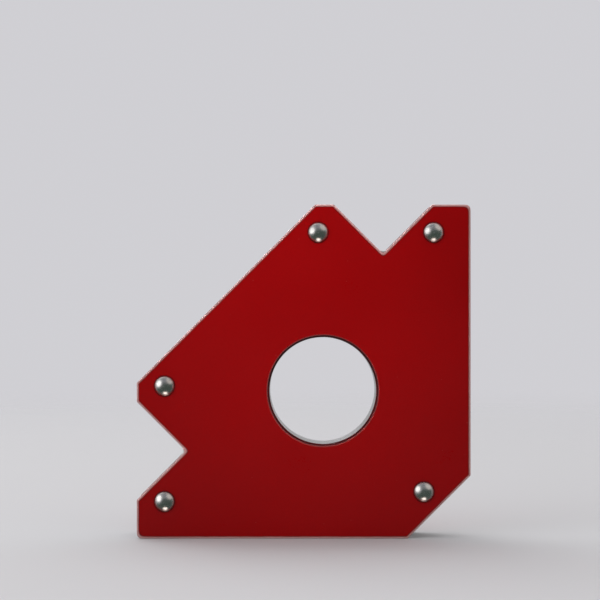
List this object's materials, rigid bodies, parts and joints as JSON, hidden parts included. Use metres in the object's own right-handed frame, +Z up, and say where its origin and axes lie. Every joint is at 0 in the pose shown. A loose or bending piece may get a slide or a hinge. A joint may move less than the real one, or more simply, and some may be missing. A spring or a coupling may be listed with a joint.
{
  "type": "magnetic welding holder",
  "caption": "Arrow-shaped magnetic welding holder: two red steel plates riveted over a magnet core, with square and 45 degree working edges, V notches and a round finger hole.",
  "frame": {"origin": "centre of the footprint, on the bottom working edge", "axes": "+X out of the right working edge, +Y through the thickness from the front face to the rear face, +Z up from the bottom working edge"},
  "size_m": [0.127, 0.0206, 0.127],
  "materials": {
    "red_paint": "satin",
    "rivet_steel": "polished",
    "spacer_steel": "satin",
    "sleeve_steel": "satin",
    "rail_aluminium": "satin",
    "ferrite": "matte"
  },
  "bodies": {
    "root": {"bore_sleeve": "sleeve_steel", "bottom_edge_rail": "rail_aluminium", "corner_edge_rail": "rail_aluminium", "front_plate": "red_paint", "left_notch_rail": "rail_aluminium", "magnet_bottom_left": "ferrite", "magnet_bottom_right": "ferrite", "magnet_right_lower": "ferrite", "magnet_right_upper": "ferrite", "magnet_slope_lower": "ferrite", "magnet_slope_upper": "ferrite", "rear_plate": "red_paint", "right_edge_rail": "rail_aluminium", "rivet_left_foot": "rivet_steel", "rivet_left_nose": "rivet_steel", "rivet_square_corner": "rivet_steel", "rivet_top_foot": "rivet_steel", "rivet_top_nose": "rivet_steel", "slope_edge_rail": "rail_aluminium", "spacer_left_foot": "spacer_steel", "spacer_left_nose": "spacer_steel", "spacer_square_corner": "spacer_steel", "spacer_top_foot": "spacer_steel", "spacer_top_nose": "spacer_steel", "top_notch_rail": "rail_aluminium"}
  },
  "joints": []
}
